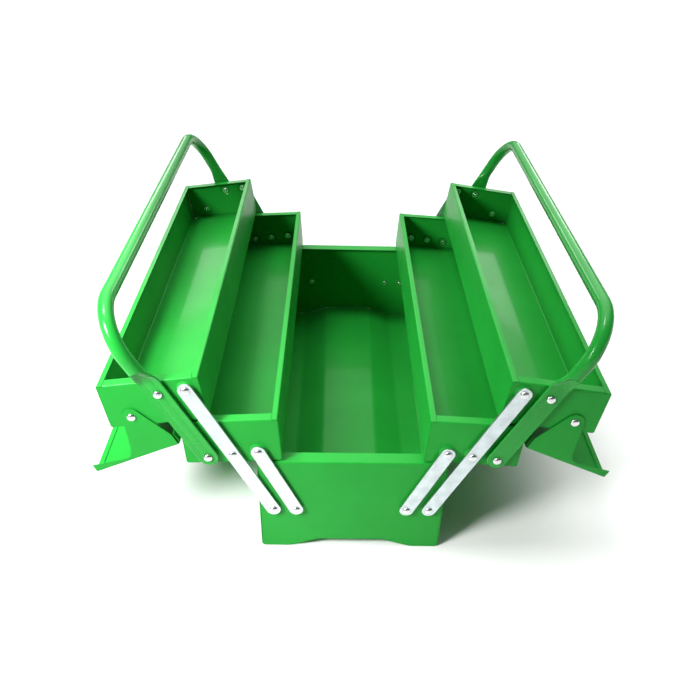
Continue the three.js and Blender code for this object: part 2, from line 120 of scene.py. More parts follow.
COVER_SHEET = 0.8
COVER_TOP = 50.0
COVER_EAVE = 26.2
COVER_TIP = 74.15
COVER_EAVE_DEPTH = 14
COVER_SWING = 196.4
EAR_RADIUS = 9.5
EAR_WIDTH = 23.4
EAR_SHOULDER = 13.5
LIP_ROOT = 4.6
LIP_ROOT_FROM_PIN = 34
LIP_TIP = 10
COVER_HEM = 7
COVER_FOLD = 0.98
COVER_FOLD_BEND = 0.47
COVER_RELIEF = 1.5
EAR_STUB = 3

# How the lip curves down into the ear: distance along from its root, and drop
LIP_CURVE = ((-2, 0.1), (0, 0.0), (2.2, 0.25), (4.2, 1.0), (6, 2.3), (7.8, 4.4), (9.3, 6.7))

HEAD_RADIUS = 4.5
HEAD_HEIGHT = 2.6
HEAD_EDGE = 0.3
SHANK_RADIUS = 2
SPACER_RADIUS = 4.4
WASHER_RADIUS = 4.6
WASHER_THICKNESS = 0.9
TAIL_RADIUS = 3
TAIL_HEIGHT = 1.3
HOLE_RADIUS = 2.3
GAP = 0.3
SEAM = 0.4
HAIR = 0.05
BORE_SLIP = 0.12

# A boss pressed out of a tray's end: shares of its radius, and heights
BOSS_RADIUS = 9.3
BOSS_HEIGHT = 1.85
BOSS_RISE = (
    (1.0, -0.3), (0.999, 0.0), (0.96, 0.1), (0.88, 0.42), (0.78, 1.0), (0.68, 1.5),
    (0.6, 1.76), (0.53, BOSS_HEIGHT),
)

# Layers across each end, as distances from the middle plane
base_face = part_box("base_body")[1].y / MM
tray_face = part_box("right_mid_tray_body")[1].y / MM
cover_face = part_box("right_cover")[1].y / MM
link_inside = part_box("right_rear_long_link")[0].y / MM
tube_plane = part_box("right_handle")[1].y / MM - TUBE_RADIUS


def pin(node):
    """Where a rivet's axis crosses X and Z."""
    low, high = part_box(node)
    return Vector(((low.x + high.x) / 2 / MM, (low.z + high.z) / 2 / MM))


def lean(lower, upper):
    """The angle outwards from straight up, from one pin to another."""
    return math.atan2(upper.x - lower.x, upper.y - lower.y)


# ------------------------------------------------------------------ shaping by hand


def clear_selection():
    bpy.ops.object.select_all(action="DESELECT")


def open_for_shaping(name):
    piece = bpy.context.object
    piece.name = piece.data.name = name
    bpy.ops.object.transform_apply(location=True, rotation=True, scale=True)
    bpy.ops.object.mode_set(mode="EDIT")
    bpy.ops.mesh.select_all(action="DESELECT")


def open_empty(name):
    """A new piece with nothing in it yet, open for shaping."""
    clear_selection()
    bpy.ops.mesh.primitive_plane_add(size=0.1)
    open_for_shaping(name)
    bpy.ops.mesh.select_all(action="SELECT")
    bpy.ops.mesh.delete(type="VERT")


def face_outwards():
    bpy.ops.mesh.select_all(action="SELECT")
    bpy.ops.mesh.normals_make_consistent(inside=False)


def close_shape():
    bpy.ops.object.mode_set(mode="OBJECT")
    return bpy.context.object


def blank(name, low, high):
    """A flat rectangle between two corners that share one coordinate."""
    low, high = Vector(low), Vector(high)
    size = high - low
    quarter = math.pi / 2
    flat = min(range(3), key=lambda axis: abs(size[axis]))
    turn = ((0, quarter, 0), (quarter, 0, 0), (0, 0, 0))[flat]
    spans = ((size.z, size.y, 1), (size.x, size.z, 1), (size.x, size.y, 1))[flat]
    clear_selection()
    bpy.ops.mesh.primitive_plane_add(size=1, location=(low + high) / 2, rotation=turn)
    bpy.context.object.scale = spans
    open_for_shaping(name)


def close_to(value, wanted, reach=0.02):
    """Whether a coordinate is as wanted; None accepts any."""
    return wanted is None or abs(value - wanted) < reach


def pick(kind, test):
    """Select the vertices, edges or faces whose middle passes the test."""
    bpy.ops.mesh.select_mode(type=kind)
    bpy.ops.mesh.select_all(action="DESELECT")
    mesh = bmesh.from_edit_mesh(bpy.context.object.data)
    for part in {"VERT": mesh.verts, "EDGE": mesh.edges, "FACE": mesh.faces}[kind]:
        corners = [part] if kind == "VERT" else part.verts
        middle = sum((v.co for v in corners), Vector()) / len(corners)
        if test(middle):
            part.select_set(True)
    mesh.select_flush_mode()
    bmesh.update_edit_mesh(bpy.context.object.data)


def pick_at(kind, x=None, y=None, z=None):
    pick(kind, lambda m: close_to(m.x, x) and close_to(m.y, y) and close_to(m.z, z))


def pull(x=0.0, y=0.0, z=0.0):
    """Extrude what is picked; the new edge or face stays picked."""
    bpy.ops.mesh.extrude_region_move(TRANSFORM_OT_translate={"value": (x, y, z)})


def slide(x=0.0, y=0.0, z=0.0):
    bpy.ops.transform.translate(value=(x, y, z))


def round_off(offset, steps, affect):
    bpy.ops.mesh.bevel(
        offset_type="OFFSET", offset=offset, segments=steps, profile=0.5, affect=affect,
        clamp_overlap=False,
    )


def bend(radius, turn=math.pi / 2, steps=5):
    """Round the picked fold to a bend radius."""
    round_off(radius * math.tan(turn / 2), steps, "EDGES")


def round_corner(radius, steps):
    """Round the picked corner of a flat sheet."""
    round_off(radius, steps, "VERTICES")


def apply_modifier(piece, kind, **settings):
    clear_selection()
    piece.select_set(True)
    bpy.context.view_layer.objects.active = piece
    modifier = piece.modifiers.new("work", kind)
    for key, value in settings.items():
        setattr(modifier, key, value)
    bpy.ops.object.modifier_apply(modifier=modifier.name)


def thicken(piece, sheet):
    """Give a folded surface its sheet thickness, half to each side."""
    bpy.ops.object.mode_set(mode="EDIT")
    bpy.ops.mesh.select_all(action="SELECT")
    bpy.ops.mesh.remove_doubles(threshold=0.001)
    bpy.ops.mesh.normals_make_consistent(inside=False)
    bpy.ops.object.mode_set(mode="OBJECT")
    apply_modifier(piece, "SOLIDIFY", thickness=sheet, offset=0, use_even_offset=True)


def soften(piece, width, steps=2, sharper_than=40):
    """Take the sharpness off cut edges."""
    apply_modifier(
        piece, "BEVEL", width=width, segments=steps, limit_method="ANGLE",
        angle_limit=math.radians(sharper_than), use_clamp_overlap=True,
    )


def join_shape(piece, tool, operation):
    """Add a tool to a piece or cut it away, and remove the tool."""
    apply_modifier(piece, "BOOLEAN", object=tool, operation=operation, solver="EXACT")
    bpy.data.objects.remove(tool)


def drill(piece, holes, radius=HOLE_RADIUS, axis="Y", reach=600):
    """Cut round holes right through, at points across the given axis."""
    turn = {"Y": (math.pi / 2, 0, 0), "Z": (0, 0, 0)}[axis]
    for hole in holes:
        clear_selection()
        bpy.ops.mesh.primitive_cylinder_add(
            vertices=28, radius=radius, depth=reach, location=hole, rotation=turn,
        )
        join_shape(piece, bpy.context.object, "DIFFERENCE")


def ring_up(rings, sides=28):
    """A solid turned about Z: each ring is (radius, height), extruded from the last."""
    radius, height = rings[0]
    bpy.ops.mesh.select_all(action="DESELECT")
    bpy.ops.mesh.primitive_circle_add(
        vertices=sides, radius=radius, location=(0, 0, height), fill_type="NGON",
    )
    for next_radius, next_height in rings[1:]:
        pull(z=next_height - height)
        size = next_radius / radius
        bpy.ops.transform.resize(value=(size, size, 1), center_override=(0, 0, next_height))
        radius, height = next_radius, next_height


def emboss(piece, x, z, face, sheet):
    """Press a round boss out of a front panel, hollow behind, about a pin."""
    for operation, start, shrink in (("UNION", face, 0.0), ("DIFFERENCE", face + sheet, sheet)):
        open_empty("boss")
        ring_up([(BOSS_RADIUS * share - shrink, height) for share, height in BOSS_RISE], sides=40)
        face_outwards()
        tool = close_shape()
        stand = Matrix.Translation((x, start, z)) @ Matrix.Rotation(math.pi / 2, 4, "X")
        tool.data.transform(stand)
        join_shape(piece, tool, operation)


# ------------------------------------------------------------------ setting in place

FRONT, REAR = 1, -1
TURN_ROUND = Matrix.Rotation(math.pi, 4, "Z")
MIRROR_ENDS = Matrix.Diagonal((1, -1, 1, 1))
TO_METRES = Matrix.Scale(MM, 4)
models = []


def standing_at(point, turn):
    """A frame at a pin, leaning outwards by the given angle."""
    return Matrix.Translation((point.x, 0, point.y)) @ Matrix.Rotation(turn, 4, "Y")


def set_in_place(model, name, place, finish, body, nodes, end=FRONT, left=False):
    """A copy of a finished model, placed in metres, riding on its body."""
    piece = model.copy()
    piece.data = model.data.copy()
    piece.name = piece.data.name = name
    bpy.context.scene.collection.objects.link(piece)
    matrix = TO_METRES @ place
    if end == REAR:
        matrix = MIRROR_ENDS @ matrix
    if left:
        matrix = TURN_ROUND @ matrix
    piece.data.transform(matrix)
    if matrix.determinant() < 0:
        piece.data.flip_normals()
    clear_selection()
    piece.select_set(True)
    bpy.context.view_layer.objects.active = piece
    bpy.ops.object.shade_smooth_by_angle(angle=math.radians(38))
    apply_modifier(piece, "WEIGHTED_NORMAL", weight=60, keep_sharp=True)
    piece.data.materials.clear()
    piece.data.materials.append(finish)
    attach(piece, body)
    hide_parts(*nodes)
    if model not in models:
        models.append(model)


# ------------------------------------------------------------------ finishes


def node_group(name, inputs, outputs):
    group = bpy.data.node_groups.new(name, "ShaderNodeTree")
    kinds = {"value": "NodeSocketFloat", "colour": "NodeSocketColor", "vector": "NodeSocketVector"}
    for label, kind, default in inputs:
        socket = group.interface.new_socket(label, in_out="INPUT", socket_type=kinds[kind])
        if default is not None:
            socket.default_value = default
    for label, kind in outputs:
        group.interface.new_socket(label, in_out="OUTPUT", socket_type=kinds[kind])
    return group, group.nodes.new("NodeGroupInput"), group.nodes.new("NodeGroupOutput")


def new_node(tree, kind, **settings):
    node = tree.nodes.new(kind)
    for key, value in settings.items():
        if key in node.inputs:
            node.inputs[key].default_value = value
        else:
            setattr(node, key, value)
    return node


def spread(tree, source, low, high, to_low=0.0, to_high=1.0):
    """A value stretched from one range to another, held at the ends."""
    node = tree.nodes.new("ShaderNodeMapRange")
    tree.links.new(source, node.inputs["Value"])
    limits = (("From Min", low), ("From Max", high), ("To Min", to_low), ("To Max", to_high))
    for label, value in limits:
        node.inputs[label].default_value = value
    return node.outputs["Result"]


def make_sprayed_skin():
    """The low ripple that sprayed and baked enamel dries with, over slow waves in the sheet."""
    group, given, result = node_group(
        "sprayed_skin",
        [("Ripple size", "value", 700.0), ("Ripple height", "value", 0.05),
         ("Sheet waves", "value", 0.1)],
        [("Normal", "vector")],
    )
    place = group.nodes.new("ShaderNodeTexCoord")
    waves = new_node(group, "ShaderNodeTexNoise", Scale=14.0, Detail=1.0)
    ripple = new_node(group, "ShaderNodeTexNoise", Detail=1.0, Roughness=0.4)
    slow = new_node(group, "ShaderNodeBump", Distance=0.004)
    fine = new_node(group, "ShaderNodeBump", Distance=0.0004)
    link = group.links.new
    link(place.outputs["Object"], waves.inputs["Vector"])
    link(place.outputs["Object"], ripple.inputs["Vector"])
    link(given.outputs["Ripple size"], ripple.inputs["Scale"])
    link(waves.outputs["Fac"], slow.inputs["Height"])
    link(given.outputs["Sheet waves"], slow.inputs["Strength"])
    link(ripple.outputs["Fac"], fine.inputs["Height"])
    link(given.outputs["Ripple height"], fine.inputs["Strength"])
    link(slow.outputs["Normal"], fine.inputs["Normal"])
    link(fine.outputs["Normal"], result.inputs["Normal"])
    return group


def make_handling_marks():
    """Uneven polish: broad soft patches crossed by a few fine smudges."""
    group, given, result = node_group(
        "handling_marks",
        [("Roughness", "value", 0.3), ("Spread", "value", 0.05), ("Size", "value", 30.0)],
        [("Roughness", "value"), ("Mask", "value")],
    )
    place = group.nodes.new("ShaderNodeTexCoord")
    patches = new_node(group, "ShaderNodeTexNoise", Detail=3.0, Roughness=0.55)
    smudges = new_node(group, "ShaderNodeTexNoise", Scale=160.0, Detail=4.0, Distortion=1.2)
    blend = new_node(group, "ShaderNodeMath", operation="MULTIPLY_ADD")
    blend.inputs[1].default_value = 0.35
    link = group.links.new
    link(place.outputs["Object"], patches.inputs["Vector"])
    link(place.outputs["Object"], smudges.inputs["Vector"])
    link(given.outputs["Size"], patches.inputs["Scale"])
    link(smudges.outputs["Fac"], blend.inputs[0])
    link(patches.outputs["Fac"], blend.inputs[2])
    mask = spread(group, blend.outputs[0], 0.45, 0.9)
    scaled = new_node(group, "ShaderNodeMath", operation="MULTIPLY_ADD")
    link(mask, scaled.inputs[0])
    link(given.outputs["Spread"], scaled.inputs[1])
    link(given.outputs["Roughness"], scaled.inputs[2])
    link(scaled.outputs[0], result.inputs["Roughness"])
    link(mask, result.inputs["Mask"])
    return group


def make_two_tone():
    """One colour drifting into another in soft clouds."""
    group, given, result = node_group(
        "two_tone",
        [("First", "colour", None), ("Second", "colour", None), ("Size", "value", 12.0)],
        [("Color", "colour")],
    )
    place = group.nodes.new("ShaderNodeTexCoord")
    clouds = new_node(group, "ShaderNodeTexNoise", Detail=4.0, Roughness=0.6)
    mix = new_node(group, "ShaderNodeMix", data_type="RGBA")
    link = group.links.new
    link(place.outputs["Object"], clouds.inputs["Vector"])
    link(given.outputs["Size"], clouds.inputs["Scale"])
    link(spread(group, clouds.outputs["Fac"], 0.35, 0.65), mix.inputs["Factor"])
    for source, target in (("First", 6), ("Second", 7)):
        link(given.outputs[source], mix.inputs[target])
    link(mix.outputs[2], result.inputs["Color"])
    return group


sprayed_skin = make_sprayed_skin()
handling_marks = make_handling_marks()
two_tone = make_two_tone()


def use_group(tree, group, **settings):
    node = tree.nodes.new("ShaderNodeGroup")
    node.node_tree = group
    for key, value in settings.items():
        node.inputs[key.replace("_", " ")].default_value = value
    return node


def bare_material(name, **constants):
    material = bpy.data.materials.new(name)
    material.use_nodes = True
    shader = material.node_tree.nodes["Principled BSDF"]
    for key, value in constants.items():
        shader.inputs[key.replace("_", " ")].default_value = value
    return material, material.node_tree, shader


def link_up(tree, shader, colour, marks, skin):
    for node, source, target in (
        (colour, "Color", "Base Color"),
        (marks, "Roughness", "Roughness"),
        (skin, "Normal", "Normal"),
    ):
        tree.links.new(node.outputs[source], shader.inputs[target])


def enamel(name, first, second, roughness, ripple_height, gloss):
    material, tree, shader = bare_material(
        name, Specular_IOR_Level=gloss, Coat_Weight=gloss, Coat_Roughness=0.08,
    )
    colour = use_group(tree, two_tone, First=first, Second=second, Size=9.0)
    marks = use_group(tree, handling_marks, Roughness=roughness, Spread=0.1, Size=26.0)
    skin = use_group(
        tree, sprayed_skin, Ripple_size=650.0, Ripple_height=ripple_height, Sheet_waves=0.1,
    )
    link_up(tree, shader, colour, marks, skin)
    return material


def plated(name, first, second, roughness, spread_by, cloud_size, ripple_height):
    material, tree, shader = bare_material(name, Metallic=1.0)
    colour = use_group(tree, two_tone, First=first, Second=second, Size=cloud_size)
    marks = use_group(
        tree, handling_marks, Roughness=roughness, Spread=spread_by, Size=cloud_size,
    )
    skin = use_group(
        tree, sprayed_skin, Ripple_size=420.0, Ripple_height=ripple_height, Sheet_waves=0.06,
    )
    link_up(tree, shader, colour, marks, skin)
    return material


green_enamel = enamel(
    "green_enamel", (0.012, 0.29, 0.030, 1), (0.010, 0.26, 0.025, 1), 0.36, 0.12, 0.1,
)
handle_enamel = enamel(
    "handle_enamel", (0.014, 0.295, 0.033, 1), (0.011, 0.265, 0.028, 1), 0.2, 0.10, 0.2,
)
bright_zinc = plated(
    "bright_zinc", (0.70, 0.77, 0.79, 1), (0.58, 0.64, 0.66, 1), 0.36, 0.12, 110.0, 0.1,
)
rivet_steel = plated(
    "rivet_steel", (0.80, 0.81, 0.82, 1), (0.70, 0.70, 0.70, 1), 0.16, 0.12, 240.0, 0.05,
)

# ------------------------------------------------------------------ base


def make_base_body():
    """One sheet: raised floor, two walls and a hem turned in along each wall."""
    half = BASE_SHEET / 2
    wall, top, lifted = BASE_WIDTH / 2 - half, BASE_HEIGHT - half, FLOOR_LIFT + half
    blank("base_sheet", (-FLOOR_FLAT, -base_face, lifted), (FLOOR_FLAT, base_face, lifted))
    slope = math.atan2(FLOOR_LIFT, FLOOR_SLOPE - FLOOR_FLAT)
    for side in (-1, 1):
        pick_at("EDGE", x=side * FLOOR_FLAT, z=lifted)
        pull(x=side * (FLOOR_SLOPE - FLOOR_FLAT), z=-FLOOR_LIFT)
        pull(x=side * (wall - FLOOR_SLOPE))
        pull(z=top - half)
        pull(x=-side * (BASE_HEM - half))
    for side in (-1, 1):
        for x, z, radius, turn, steps in (
            (FLOOR_FLAT, lifted, FLOOR_BEND, slope, 5),
            (FLOOR_SLOPE, half, FLOOR_BEND, slope, 5),
            (wall, half, BASE_CORNER, math.pi / 2, 8),
            (wall, top, HEM_BEND, math.pi / 2, 5),
        ):
            pick_at("EDGE", x=side * x, z=z)
            bend(radius, turn, steps)
    piece = close_shape()
    thicken(piece, BASE_SHEET)
    soften(piece, 0.22)
    return piece


def turn_in_top(y, shoulder, top, flange, lips, under):
    """Turn an end panel's top inwards between its lips, and raise the flaps beside it."""
    pick("EDGE", lambda m: close_to(m.z, shoulder) and lips[0] < m.x < lips[1])
    pull(z=top - shoulder)
    pull(y=flange)
    pick("EDGE", lambda m: close_to(m.z, top) and close_to(m.y, y))
    bend(HEM_BEND)
    for x, outwards in zip(lips, (-1, 1)):
        pick("EDGE", lambda m: close_to(m.z, shoulder) and (m.x - x) * outwards > 0)
        pull(z=under - shoulder)
        pick_at("VERT", x=x, z=under)
        slide(x=outwards * FLAP_DRAFT)


def make_base_end(holes):
    """The front end panel: its foot follows the raised floor, its top is turned in."""
    half = BASE_SHEET / 2
    y = -(base_face - half)
    clear = BASE_SHEET + GAP
    wall = BASE_WIDTH / 2 - BASE_SHEET - SEAM
    under = BASE_HEIGHT - BASE_SHEET - GAP
    lip = BASE_WIDTH / 2 - BASE_HEM - SEAM
    lifted = FLOOR_LIFT + clear
    shoulder = BASE_HEIGHT - half - HEM_BEND - SHOULDER_DROP
    blank("base_end", (-FLOOR_FLAT, y, lifted), (FLOOR_FLAT, y, shoulder))
    for side in (-1, 1):
        pick("EDGE", lambda m: close_to(m.x, side * FLOOR_FLAT))
        pull(x=side * (FLOOR_SLOPE - FLOOR_FLAT))
        pick_at("VERT", x=side * FLOOR_SLOPE, z=lifted)
        slide(z=-FLOOR_LIFT)
        pick("EDGE", lambda m: close_to(m.x, side * FLOOR_SLOPE))
        pull(x=side * (lip - FLOOR_SLOPE))
        pull(x=side * (wall - lip))
    turn_in_top(y, shoulder, BASE_HEIGHT - half, BASE_FLANGE - half, (-lip, lip), under)
    for side in (-1, 1):
        pick_at("VERT", x=side * wall, z=clear)
        round_corner(BASE_CORNER - clear, 7)
    piece = close_shape()
    thicken(piece, BASE_SHEET)
    drill(piece, [(x, y, z) for x, z in holes])
    soften(piece, 0.16)
    return piece


# ------------------------------------------------------------------ trays


def make_tray_body(name, width, height, origin, drains=()):
    """One sheet: floor, two walls and the hems along their tops."""
    half = TRAY_SHEET / 2
    left, right, top = half, width - half, height - half
    blank(name, (left, -tray_face, half), (right, tray_face, half))
    for x, inwards in ((left, 1), (right, -1)):
        pick_at("EDGE", x=x, z=half)
        pull(z=top - half)
        pull(x=inwards * (TRAY_HEM - half))
    for x in (left, right):
        pick_at("EDGE", x=x, z=half)
        bend(TRAY_CORNER, steps=6)
        pick_at("EDGE", x=x, z=top)
        bend(HEM_BEND)
    piece = close_shape()
    thicken(piece, TRAY_SHEET)
    drill(piece, drains, DRAIN_RADIUS, axis="Z", reach=12)
    soften(piece, 0.18)
    move_origin(piece, origin)
    return piece


def make_tray_end(name, width, height, pins, origin):
    """The front end panel: a plate between the walls, its top turned in, embossed at pins."""
    half = TRAY_SHEET / 2
    y = -(tray_face - half)
    clear = TRAY_SHEET + PANEL_SLIP
    lip = TRAY_HEM + SEAM
    under = height - TRAY_SHEET - GAP
    shoulder = height - half - HEM_BEND - SHOULDER_DROP
    blank(name, (lip, y, clear), (width - lip, y, shoulder))
    for x, outwards in ((lip, -1), (width - lip, 1)):
        pick("EDGE", lambda m: close_to(m.x, x))
        pull(x=outwards * (lip - clear))
        pick_at("VERT", x=x + outwards * (lip - clear), z=clear)
        round_corner(TRAY_CORNER - clear + half, 4)
    turn_in_top(y, shoulder, height - half, TRAY_FLANGE - half, (lip, width - lip), under)
    piece = close_shape()
    thicken(piece, TRAY_SHEET)
    for word, (x, z) in pins.items():
        if word != "cover":
            emboss(piece, x, z, y - half, TRAY_SHEET)
    drill(piece, [(x, y, z) for x, z in pins.values()])
    soften(piece, 0.14)
    move_origin(piece, origin)
    return piece


def move_origin(piece, origin):
    """Shift a piece so that the given point across it becomes its origin."""
    piece.data.transform(Matrix.Translation((-origin[0], 0, -origin[1])))


# ------------------------------------------------------------------ links and rivets


def make_link(name, length, holes):
    """A flat bar with round ends, its lower pin at the origin."""
    sides = 48
    clear_selection()
    bpy.ops.mesh.primitive_cylinder_add(
        vertices=sides, radius=LINK_WIDTH / 2, depth=LINK_THICKNESS,
        location=(0, -(link_inside + LINK_THICKNESS / 2), 0),
        rotation=(math.pi / 2, math.pi / sides, 0),
    )
    open_for_shaping(name)
    pick("VERT", lambda m: m.z > 0)
    slide(z=length)
    piece = close_shape()
    drill(piece, [(0, -link_inside, height) for height in holes])
    soften(piece, 0.35, steps=3)
    return piece


def collar(radius, low, high, bore, sides=28):
    """A washer or spacer about Z, with its hole."""
    bpy.ops.mesh.select_all(action="DESELECT")
    bpy.ops.mesh.primitive_cylinder_add(
        vertices=sides, radius=radius, depth=high - low, location=(0, 0, (low + high) / 2),
    )
    pick("FACE", lambda m: m.xy.length < 0.01 and (close_to(m.z, low) or close_to(m.z, high)))
    bpy.ops.mesh.inset(thickness=radius - bore)
    bpy.ops.mesh.bridge_edge_loops()


def make_rivet(name, seat_on, moving_inside, moving_face):
    """A domed rivet along Z with its spacer and tail washer; Z = 0 is the panel's inside."""
    seat = -GAP - WASHER_THICKNESS
    tail = seat - TAIL_HEIGHT
    head = moving_face + HAIR
    brim = [(SHANK_RADIUS, head), (HEAD_RADIUS - 0.15, head), (HEAD_RADIUS, head + 0.12)]
    dome = [
        (HEAD_RADIUS * math.cos(a), head + HEAD_EDGE + (HEAD_HEIGHT - HEAD_EDGE) * math.sin(a))
        for a in map(math.radians, (0, 9, 19, 30, 42, 54, 66, 78, 87))
    ]
    rolled_tail = [
        (0.9, tail + 0.75), (1.15, tail + 0.35), (1.45, tail + 0.08), (1.9, tail),
        (2.4, tail + 0.1), (2.8, tail + 0.4), (TAIL_RADIUS, tail + 0.8), (2.85, seat + 0.02),
        (SHANK_RADIUS, seat + 0.02),
    ]
    open_empty(name)
    ring_up(rolled_tail + brim + dome)
    collar(WASHER_RADIUS, seat + HAIR, -0.02, SHANK_RADIUS + BORE_SLIP)
    if moving_inside - seat_on > GAP:
        collar(SPACER_RADIUS, seat_on + HAIR, moving_inside - HAIR, SHANK_RADIUS + BORE_SLIP)
    face_outwards()
    piece = close_shape()
    soften(piece, 0.14, steps=2, sharper_than=60)
    return piece


# ------------------------------------------------------------------ handles


def round_section(k, sides):
    angle = 2 * math.pi * k / sides
    return TUBE_RADIUS * math.cos(angle), TUBE_RADIUS * math.sin(angle)


def pressed_section(k, sides):
    """The same tube pressed flat: tight round edges, two lengthwise grooves in each face."""
    angle = 360 * k / sides
    thick = PLATE_THICKNESS / 2
    flat = PLATE_WIDTH / 2 - thick
    edge = PLATE_EDGE_ANGLE
    from_side = (angle + 90) % 180 - 90
    if abs(from_side) <= edge:
        side = 1 if math.cos(math.radians(angle)) > 0 else -1
        around = math.radians(from_side * 90 / edge)
        x = side * (flat + thick * math.cos(around))
        y = side * thick * math.sin(around)
    else:
        up = 1 if angle < 180 else -1
        along = (angle % 180 - edge) / (180 - 2 * edge)
        x = up * flat * (1 - 2 * along)
        sunk = GROOVE_SUNK if GROOVE_FROM < abs(x) / flat < GROOVE_TO else FACE_SUNK
        y = up * (thick - sunk)
    return x, y - TUBE_RADIUS + thick


def eased(t):
    t = min(max(t, 0.0), 1.0)
    return t * t * (3 - 2 * t)


def section(k, sides, pressed):
    """The tube's outline part way through the crimp: the outer wall falls in first."""
    a, b = round_section(k, sides), pressed_section(k, sides)
    upper = max(0.0, a[1] / TUBE_RADIUS) ** 1.6
    lower = max(0.0, -a[1] / TUBE_RADIUS)
    share = eased(pressed ** (1.3 - 0.95 * upper - 0.5 * lower))
    return a[0] + (b[0] - a[0]) * share, a[1] + (b[1] - a[1]) * share


def handle_stops(pin_span):
    """Stops along the handle: middle of the tube, its outward direction, pressing, width."""
    plate_top = pin_span + PLATE_ABOVE_PIN
    top = pin_span + HANDLE_REACH
    up, out = Vector((0, 0, 1)), Vector((0, -1, 0))
    leg = []
    for a in (86, 78, 68, 56, 44, 32, 21, 10, 0):
        angle = math.radians(a)
        leg.append((-PLATE_WIDTH / 2 * math.sin(angle), 1.0, math.cos(angle)))
    leg.append((pin_span / 2, 1.0, 1.0))
    crimp_steps = 14
    for k in range(crimp_steps + 1):
        t = k / crimp_steps
        leg.append((plate_top + CRIMP_LENGTH * t, 1 - t, 1.0))
    stops = [(Vector((0, -tube_plane, z)), out, pressed, wide) for z, pressed, wide in leg]
    arc_steps = 14
    for end in (-1, 1):
        centre = Vector((0, end * (tube_plane - HANDLE_CORNER), top - HANDLE_CORNER))
        for k in range(arc_steps + 1):
            turn = math.pi / 2 * (k if end < 0 else arc_steps - k) / arc_steps
            away = Vector((0, end * math.cos(turn), math.sin(turn)))
            stops.append((centre + HANDLE_CORNER * away, away, 0.0, 1.0))
    for z, pressed, wide in reversed(leg):
        stops.append((Vector((0, tube_plane, z)), -out, pressed, wide))
    return stops


def make_handle(pin_span):
    """A U of round tube, each leg pressed flat for its two pins."""
    sides = 40
    stops = handle_stops(pin_span)

    def ring(stop):
        middle, out, pressed, wide = stop
        points = []
        for k in range(sides):
            x, y = section(k, sides, pressed)
            points.append(middle + Vector((x * wide, 0, 0)) + out * y)
        return points

    clear_selection()
    bpy.ops.mesh.primitive_circle_add(vertices=sides, radius=TUBE_RADIUS, fill_type="NGON")
    open_for_shaping("handle")
    bpy.ops.mesh.select_all(action="SELECT")
    data = bpy.context.object.data
    order = None
    for number, stop in enumerate(stops):
        if number:
            bpy.ops.mesh.extrude_region_move()
        mesh = bmesh.from_edit_mesh(data)
        picked = [v for v in mesh.verts if v.select]
        if order is None:
            order = sorted(picked, key=lambda v: math.atan2(v.co.y, v.co.x) % (2 * math.pi))
        else:
            last = {tuple(round(c, 4) for c in p): k for k, p in enumerate(points)}
            order = sorted(picked, key=lambda v: last[tuple(round(c, 4) for c in v.co)])
        for vertex, place in zip(order, ring(stop)):
            vertex.co = place
        bmesh.update_edit_mesh(data)
        points = [v.co.copy() for v in order]
    face_outwards()
    piece = close_shape()
    for end in (-1, 1):
        at = end * link_inside
        drill(piece, [(0, at, 0)], HOLE_RADIUS, reach=8)
        drill(piece, [(0, at, pin_span)], HOLE_RADIUS + UPPER_HOLE_SLACK, reach=8)
    return piece


# ------------------------------------------------------------------ covers


def tangent_point(x, z, radius, side):
    """Where a line from (x, z) touches a circle about the origin."""
    swing = math.acos(radius / math.hypot(x, z))
    angle = math.atan2(z, x) + side * swing
    return radius * math.cos(angle), radius * math.sin(angle)


def ear_outline():
    """The lower edge of the cover's end, from its tip to its eave, as (x, z)."""
    shoulder = (-EAR_WIDTH, COVER_TOP - EAR_SHOULDER)
    eave = (COVER_EAVE - 1.9, COVER_TOP - COVER_EAVE_DEPTH)
    inner = tangent_point(*shoulder, EAR_RADIUS, 1)
    outer = tangent_point(*eave, EAR_RADIUS, -1)
    start = math.atan2(inner[1], inner[0])
    finish = math.atan2(outer[1], outer[0])
    if start > 0:
        start -= 2 * math.pi
    arc = [
        (EAR_RADIUS * math.cos(start + (finish - start) * k / 16),
         EAR_RADIUS * math.sin(start + (finish - start) * k / 16))
        for k in range(17)
    ]
    lip = [
        (along - LIP_ROOT_FROM_PIN, COVER_TOP - LIP_ROOT - drop) for along, drop in LIP_CURVE
    ]
    return [(1.4 - COVER_TIP, COVER_TOP - LIP_TIP), *lip, shoulder, *arc, eave]


